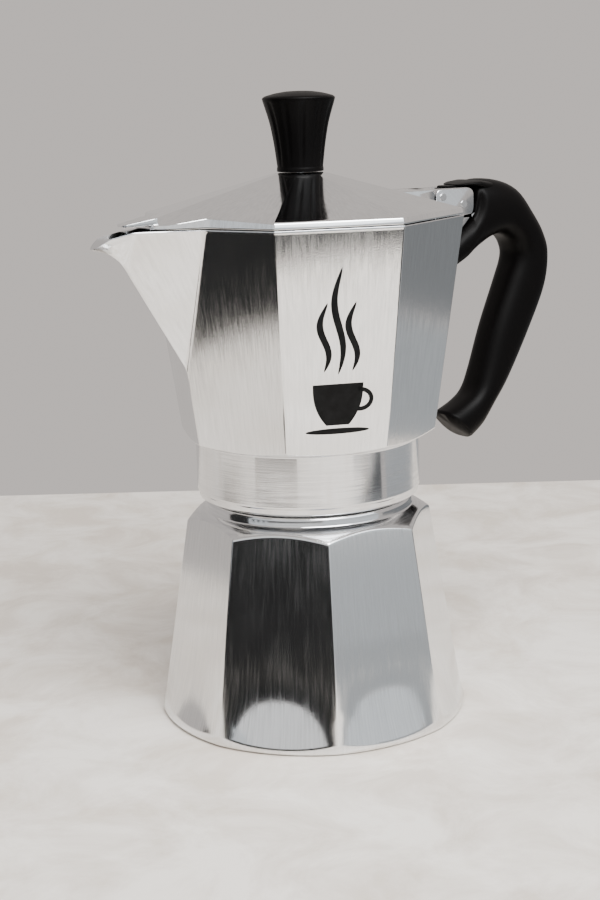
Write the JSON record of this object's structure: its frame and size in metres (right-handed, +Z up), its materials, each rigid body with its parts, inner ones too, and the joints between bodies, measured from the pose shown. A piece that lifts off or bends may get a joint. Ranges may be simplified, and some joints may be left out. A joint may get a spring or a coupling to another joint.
{
  "type": "moka pot",
  "caption": "Octagonal cast aluminium stovetop coffee pot with screw-off upper chamber, hinged lid, pouring spout, lift-out funnel, safety valve, black knob and hook handle.",
  "frame": {"origin": "centre of the boiler's flat underside, on the surface the pot stands on", "axes": "+Z up along the pot's axis, -X towards the spout, +X towards the handle"},
  "size_m": [0.1898, 0.1074, 0.2098],
  "materials": {
    "cast_aluminium": "die-cast aluminium, facets brushed upright",
    "polished_aluminium": "polished aluminium",
    "sheet_aluminium": "spun sheet aluminium, satin",
    "silicone": "moulded silicone, matt off-white",
    "black_nylon": "moulded black nylon, satin",
    "brass": "turned brass",
    "steel": "plain bright steel"
  },
  "bodies": {
    "boiler": {"boiler": "cast_aluminium", "valve_washer": "steel", "valve_body": "brass", "valve_seat": "brass", "valve_spring": "steel"},
    "valve_plunger": {"valve_plunger": "steel", "valve_clip": "steel"},
    "funnel": {"funnel": "sheet_aluminium", "funnel_strainer": "sheet_aluminium"},
    "seal": {"gasket": "silicone", "filter_plate": "sheet_aluminium"},
    "upper": {"upper_chamber": "cast_aluminium", "hinge_pin": "steel", "handle": "black_nylon", "handle_pin": "steel"},
    "lid": {"lid": "polished_aluminium", "knob": "black_nylon", "knob_insert": "brass", "knob_screw": "steel", "knob_washer": "steel"}
  },
  "joints": [
    {"name": "valve_lift", "type": "slide", "parent": "boiler", "child": "valve_plunger", "axis": [0.0922, 0.9847, 0.1476], "range_m": [0, 0.0015], "stiffness_N_per_m": 900, "springref_m": -0.002},
    {"name": "funnel_lift", "type": "slide", "parent": "boiler", "child": "funnel", "axis": [0, 0, 1], "range_m": [0, 0.1]},
    {"name": "top_lift", "type": "slide", "parent": "funnel", "child": "seal", "axis": [0, 0, 1], "range_m": [0, 0.08]},
    {"name": "unscrew", "type": "hinge", "parent": "seal", "child": "upper", "pos_m": [0, 0, 0.085], "axis": [0, 0, 1], "range_deg": [0, 720]},
    {"name": "lid_hinge", "type": "hinge", "parent": "upper", "child": "lid", "pos_m": [0.0556, 0, 0.1722], "axis": [0, 1, 0], "range_deg": [0, 98]}
  ]
}
